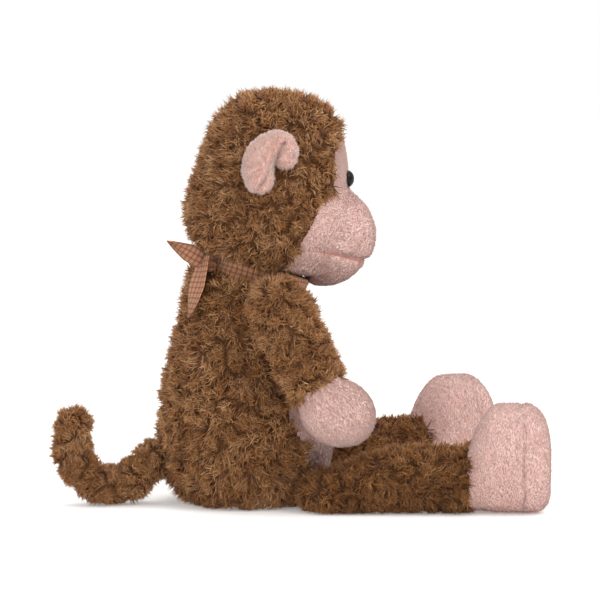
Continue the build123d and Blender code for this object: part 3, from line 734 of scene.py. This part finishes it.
# ---------------------------------------------------------------- ears
# A petal folded along its length: middle line and radius of its roll in mm,
# from the back lobe over the top to the front
EAR_ROLL = (
    (-7.0, -13.0, 9.0), (-8.0, -7.0, 10.0), (-7.5, -1.0, 10.2), (-5.0, 5.0, 10.0), (-0.5, 9.5, 9.2),
    (5.0, 12.5, 8.6), (9.5, 11.5, 8.3), (11.8, 7.0, 8.0), (11.5, 2.0, 7.2),
)
for side_name, side in SIDES:
    ear_centre = middle(f"ear_{side_name}")
    work = bmesh.new()
    for (x1, z1, r1), (x2, z2, r2) in zip(EAR_ROLL, EAR_ROLL[1:]):
        for i in range(4):
            share = i / 4
            spot = Vector((x1 + (x2 - x1) * share, 0, z1 + (z2 - z1) * share)) * MM
            ball = bmesh.ops.create_icosphere(work, subdivisions=3, radius=(r1 + (r2 - r1) * share) * MM)
            for vert in ball["verts"]:
                fuller = Vector((vert.co.x, vert.co.y * 1.05, vert.co.z))
                vert.co = fuller + spot + ear_centre + Vector((0, side * 1.5 * MM, 0))
    mesh = bpy.data.meshes.new("ear_roll")
    work.to_mesh(mesh)
    work.free()
    roll = as_object(f"ear_roll_{side_name}", mesh)
    merge = roll.modifiers.new("merge", "REMESH")
    merge.mode = "VOXEL"
    merge.voxel_size = 1.2 * MM
    soften = roll.modifiers.new("soften", "SMOOTH")
    soften.iterations = 3
    ear = baked(roll, f"ear_skin_{side_name}", EAR_PILE)
    ear.data.shade_smooth()

    def folded(point, middle_point=ear_centre):
        """Presses the fold's groove in along the middle of the ear."""
        x = (point.x - middle_point.x) / MM
        z = (point.z - middle_point.z) / MM
        groove = math.exp(-(((x - 0.55 * z - 2.0) / 2.2) ** 2)) * (z < 14)
        return point - Vector((0, side * 3.2 * MM * groove,
                               0)) * (1 if side * (point.y - middle_point.y) > 0 else 0)

    shaped(ear, folded)
    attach(ear, "head")
    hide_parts(f"ear_{side_name}")
    pile(f"ear_fuzz_{side_name}", ear, "head", "ear_plush", EAR_FUZZ, 9000, 2.8, (-0.3, side * 0.3, 0.6),
         FIBRE,
         lift=0.9, swirl=0.6, tuft=3.0, pull=0.3, curl=0.8, seed=7)


# ---------------------------------------------------------------- arms, legs and tail
def behind(pivot, line, reach):
    """A test for points short of a distance along a limb."""
    return lambda p: (p - pivot).dot(line) < reach


def beyond(pivot, line, reach):
    """A test for points past a distance along a limb."""
    return lambda p: (p - pivot).dot(line) >= reach


for side_name, side in SIDES:
    arm_body = f"arm_{side_name}"
    shoulder = Vector(joint(f"arm_{side_name}_swing")["pos_m"])
    hand_centre = middle(f"hand_cover_{side_name}")
    arm_line = (hand_centre - shoulder).normalized()
    cuff = (hand_centre - shoulder).length - 21 * MM
    whole_arm = soft_skin(
        f"whole_arm_{side_name}",
        [f"{piece}_{side_name}" for piece in ("arm_cover", "arm_stuffing", "hand_cover", "hand_stuffing")],
        -0.6, 2.4, 7,
    )
    filling(whole_arm, f"arm_filling_{side_name}", 2.4, arm_body, f"arm_stuffing_{side_name}",
            f"hand_stuffing_{side_name}")
    arm = part_of(whole_arm, f"arm_skin_{side_name}", behind(shoulder, arm_line, cuff), BACKING)
    hand = part_of(whole_arm, f"hand_skin_{side_name}", beyond(shoulder, arm_line, cuff), PINK_PILE)
    bpy.data.objects.remove(whole_arm)
    settle(arm, arm_body, f"arm_cover_{side_name}")
    settle(hand, arm_body, f"hand_cover_{side_name}")
    pile(f"arm_fur_{side_name}", arm, arm_body, "brown_plush", BROWN_FUR, 12000, 8.5, tuple(arm_line * 0.4),
         seed=8)
    pile(f"hand_fuzz_{side_name}", hand, arm_body, "pink_plush", PINK_FUZZ, 13000, 2.2, tuple(arm_line),
         FIBRE,
         **SHORT, seed=9)

    leg_body = f"leg_{side_name}"
    hip = Vector(joint(f"leg_{side_name}_swing")["pos_m"])
    foot_centre = middle(f"foot_stuffing_{side_name}")
    leg_line = Vector((foot_centre.x - hip.x, foot_centre.y - hip.y, 0)).normalized()
    whole_leg = soft_skin(
        f"whole_leg_{side_name}",
        [f"{piece}_{side_name}" for piece in ("leg_cover", "leg_stuffing", "foot_cover", "foot_sole",
                                              "foot_stuffing")],
        -0.2, 2.6, 12,
    )

    def instep(point, hip=hip, line=leg_line):
        """Thins the thigh, slopes the instep forwards, leans the toes back and draws the sole's seam in."""
        along = (point - hip).dot(line) / MM
        high = max(0.0, min(1.0, (point.z / MM - 40) / 32))
        to_front = max(0.0, min(1.0, (along - 100) / 57))
        root = max(0.0, min(1.0, 1 - along / 50))
        tall = max(0.0, min(1.0, (along - 96) / 14))
        point = Vector((point.x, point.y, point.z * (1 - 0.40 * root + 0.05 * tall)))
        shift = 9 * high**1.4 * (1 - to_front) ** 1.2 * (along > 92) - 7 * high**2.2 * to_front
        seam = math.exp(-(((along - SOLE_SEAM) / 1.4) ** 2))
        axis_point = hip + line * (along * MM)
        inwards = Vector((axis_point.x - point.x, axis_point.y - point.y, 37 * MM - point.z))
        pull_in = inwards.normalized() * (1.1 * MM * seam) if along > 120 else Vector()
        if point.z < 4 * MM:
            pull_in.z = 0
        return point + line * (shift * MM) + pull_in

    shaped(whole_leg, instep)
    filling(whole_leg, f"leg_filling_{side_name}", 2.4, leg_body, f"leg_stuffing_{side_name}",
            f"foot_stuffing_{side_name}")
    ankle = 99 * MM
    leg = part_of(whole_leg, f"leg_skin_{side_name}", behind(hip, leg_line, ankle), BACKING)
    foot = part_of(
        whole_leg, f"foot_skin_{side_name}",
        lambda p, hip=hip, line=leg_line: ankle <= (p - hip).dot(line) < SOLE_SEAM * MM, PINK_PILE,
    )
    sole = part_of(whole_leg, f"sole_skin_{side_name}", beyond(hip, leg_line, SOLE_SEAM * MM), SOLE_PILE)
    bpy.data.objects.remove(whole_leg)
    settle(leg, leg_body, f"leg_cover_{side_name}")
    settle(foot, leg_body, f"foot_cover_{side_name}")
    settle(sole, leg_body, f"foot_sole_{side_name}")
    pile(f"leg_fur_{side_name}", leg, leg_body, "brown_plush", LEG_FUR, 16000, 8.0, tuple(leg_line * 0.3),
         seed=10)
    for skin, fuzz_name, count, slot_name in ((foot, "foot_fuzz", 13000, "pink_plush"),
                                              (sole, "sole_fuzz", 9000, "sole_plush")):
        pile(f"{fuzz_name}_{side_name}", skin, leg_body, slot_name, PINK_FUZZ, count, 2.2, (0, 0, 1), FIBRE,
             **SHORT, seed=11)

tail_skin = soft_skin("tail_skin", ["tail_cover", "tail_stuffing"], -0.9, 2.5, 5, BACKING)
patches.append(tail_skin)
settle(tail_skin, "tail", "tail_cover")
pile("tail_fur", tail_skin, "tail", "brown_plush", BROWN_FUR, 11000, 7.5, (-0.3, 0, 0.2), seed=12)


# ---------------------------------------------------------------- neckerchief
def neck_point(radius, angle, rise):
    """A point round the neck's leaning axis: angle 0 is straight ahead."""
    ahead = NECK_AHEAD * (radius * math.cos(angle))
    across = NECK_ACROSS * (radius * math.sin(angle))
    return NECK + ahead + across + NECK_AXIS * rise


def cloth_strip(name, rows, across, thickness):
    """A strip of cloth from rows of points, with a Cloth UV map in metres, given a real thickness."""
    work = bmesh.new()
    uv_layer = work.loops.layers.uv.new("Cloth")
    grid = [[work.verts.new(p) for p in row] for row in rows]
    for i in range(len(grid) - 1):
        for j in range(len(grid[0]) - 1):
            face = work.faces.new((grid[i][j], grid[i + 1][j], grid[i + 1][j + 1], grid[i][j + 1]))
            face.smooth = True
            for loop, (a, b) in zip(face.loops, ((i, j), (i + 1, j), (i + 1, j + 1), (i, j + 1))):
                loop[uv_layer].uv = (a * across[0], b * across[1])
    mesh = bpy.data.meshes.new(name)
    work.to_mesh(mesh)
    work.free()
    source = as_object(name + "_source", mesh)
    wall = source.modifiers.new("cloth", "SOLIDIFY")
    wall.thickness = thickness
    wall.offset = 0.0
    made = baked(source, name, CHECK)
    return made


band_low, band_high = (Vector(v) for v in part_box("scarf_band"))
BAND_RADIUS = (band_high.y - band_low.y) / 2 - 0.8 * MM
knot = middle("scarf_knot")
knot_angle = math.atan2((knot - NECK).dot(NECK_ACROSS), (knot - NECK).dot(NECK_AHEAD))
turns = 160
band_rows = []
for i in range(turns + 1):
    angle = knot_angle + math.tau * i / turns
    row = []
    for j in range(13):
        up = j / 12
        fold = 0.9 * MM * math.sin(up * math.tau * 1.5 + 0.6 * math.sin(3 * angle))
        pinch = 1 - 0.35 * math.exp(-((min(i, turns - i) / 9) ** 2))
        radius = BAND_RADIUS + 2.2 * MM * math.sin(math.pi * up) + fold + 0.5 * MM * math.sin(5 * angle)
        row.append(neck_point(radius, angle, (-7.6 + 14.5 * (up - 0.5) * pinch + 7.0) * MM))
    band_rows.append(row)
band_length = math.tau * (BAND_RADIUS + 1.5 * MM)
band = cloth_strip("scarf_band_cloth", band_rows, (band_length / turns, 16 * MM / 12), 0.9 * MM)
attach(band, "body")
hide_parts("scarf_band")


def scarf_knot():
    """The knot: a plump wrap with the creases of the cloth that runs through it."""
    work = bmesh.new()
    uv_layer = work.loops.layers.uv.new("Cloth")
    bmesh.ops.create_icosphere(work, subdivisions=4, radius=1.0)
    size = (Vector(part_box("scarf_knot")[1]) - knot) * 1.15
    outward = (knot - NECK).normalized()
    for vert in work.verts:
        way = vert.co.copy()
        along = math.atan2(way.z, way.dot(outward))
        wrap = Vector((way.x * size.x, way.y * size.y, way.z * size.z * 0.95))
        vert.co = knot + wrap * (1 + 0.07 * math.sin(along * 7))
    for face in work.faces:
        face.smooth = True
        for loop in face.loops:
            loop[uv_layer].uv = (loop.vert.co.y, loop.vert.co.z)
    mesh = bpy.data.meshes.new("scarf_knot_cloth")
    work.to_mesh(mesh)
    work.free()
    return as_object("scarf_knot_cloth", mesh, CHECK)


knot_piece = scarf_knot()
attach(knot_piece, "body")
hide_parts("scarf_knot")


# Shares of a scarf end: of its length to widen over, and of its length to narrow over
END_FLARE = 0.4
END_POINT = 0.5


def scarf_end(name, node, start, line, level, length, width, neck, droop):
    """A pointed end of the neckerchief: it leaves the knot narrow, widens and comes to a point."""
    rows = []
    steps = 24
    normal = line.cross(level).normalized()
    for i in range(steps + 1):
        t = i / steps
        flare = neck + (1 - neck) * math.sin(min(t / END_FLARE, 1) * math.pi / 2)
        narrowing = min(1.0, ((1.0 - t) / END_POINT) ** 0.8 + 0.02)
        half = width / 2 * flare * narrowing
        row = []
        for j in range(9):
            s = j / 4 - 1
            ripple = 0.8 * MM * math.sin(s * 2.2 + t * 5)
            fall = Vector((0, 0, -droop * t * t))
            row.append(start + line * (length * t) + level * (half * s) + normal * ripple + fall)
        rows.append(row)
    made = cloth_strip(name, rows, (length / steps, width / 8), 0.8 * MM)
    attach(made, "body")
    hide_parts(node)


outward = Vector((knot.x - NECK.x, knot.y - NECK.y, 0)).normalized()
back_low, back_high = (Vector(v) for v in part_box("scarf_end_back"))
back_tip = Vector((back_low.x - 3 * MM, back_low.y, back_high.z + 3 * MM))
back_line = (back_tip - knot).normalized()
scarf_end("scarf_end_back_cloth", "scarf_end_back", knot, back_line,
          back_line.cross(Vector((0, 1, 0))).normalized(), (back_tip - knot).length, 13 * MM, 0.6, 2 * MM)
hang_low = Vector(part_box("scarf_end_hanging")[0])
hang_top = Vector((knot.x - 4 * MM, knot.y - 3 * MM, knot.z + 8 * MM))
hang_tip = Vector((hang_low.x - 3 * MM, middle("scarf_end_hanging").y - 7 * MM, hang_low.z))
hang_line = (hang_tip - hang_top).normalized()
scarf_end("scarf_end_hanging_cloth", "scarf_end_hanging", hang_top, hang_line,
          hang_line.cross(outward).normalized(), (hang_tip - hang_top).length, 17 * MM, 0.75, 0.0)

# ---------------------------------------------------------------- CAD pieces that stay, in their own finishes
FINISHES = {
    "eye_washer": WASHER_PLASTIC, "eye": EYE, "stuffing": FILLING, "seat_bean_bag": BAG_COTTON,
    "knot": BROWN_THREAD, "mouth_thread": MOUTH_CREASE_SHADE,
}
for node_name, node in frame["nodes"].items():
    for word, material in FINISHES.items():
        if word in node_name:
            node.data.materials.clear()
            node.data.materials.append(material)
            break

for spare in (LOCK, FIBRE, *patches):
    bpy.data.objects.remove(spare)

# ---------------------------------------------------------------- floor, lights and camera
floor_mesh = bpy.data.meshes.new("floor")
floor_mesh.from_pydata([(-6, -6, 0), (6, -6, 0), (6, 6, 0), (-6, 6, 0)], [], [(0, 1, 2, 3)])
FLOOR, _, floor_shader = new_material("pale matt board")
floor_shader.inputs["Base Color"].default_value = linear("#f6f5f3")
floor_shader.inputs["Roughness"].default_value = 0.9
floor_shader.inputs["Emission Color"].default_value = linear("#ffffff")
floor_shader.inputs["Emission Strength"].default_value = 0.22
as_object("floor", floor_mesh, FLOOR)

world = bpy.data.worlds.new("studio")
bpy.context.scene.world = world
world.use_nodes = True
world.node_tree.nodes["Background"].inputs["Color"].default_value = linear("#ffffff")
world.node_tree.nodes["Background"].inputs["Strength"].default_value = 1.0
bpy.context.scene.view_settings.view_transform = "Standard"


def area_light(name, place, target, size, power):
    """A soft square light that faces a target."""
    data = bpy.data.lights.new(name, "AREA")
    data.size = size
    data.energy = power
    made = bpy.data.objects.new(name, data)
    made.location = place
    made.rotation_euler = (Vector(target) - Vector(place)).to_track_quat("-Z", "Y").to_euler()
    bpy.context.scene.collection.objects.link(made)


LOOK_AT = Vector((0.038, 0.0, 0.146))
area_light("key", (0.7, -0.9, 1.3), LOOK_AT, 0.8, 9)
area_light("fill", (-1.1, -0.9, 0.7), LOOK_AT, 1.0, 3)
area_light("top", (0.0, 0.4, 1.5), LOOK_AT, 0.9, 7)

AZIMUTH = math.radians(-11)
ELEVATION = math.radians(5.5)
DISTANCE = 2.4
VIEW_WIDTH = 0.4360
camera_data = bpy.data.cameras.new("camera")
camera_data.lens = camera_data.sensor_width * DISTANCE / VIEW_WIDTH
camera = bpy.data.objects.new("camera", camera_data)
away = Vector((math.sin(AZIMUTH) * math.cos(ELEVATION), -math.cos(AZIMUTH) * math.cos(ELEVATION),
               math.sin(ELEVATION)))
camera.location = LOOK_AT + away * DISTANCE
camera.rotation_euler = (-away).to_track_quat("-Z", "Y").to_euler()
bpy.context.scene.collection.objects.link(camera)
bpy.context.scene.camera = camera
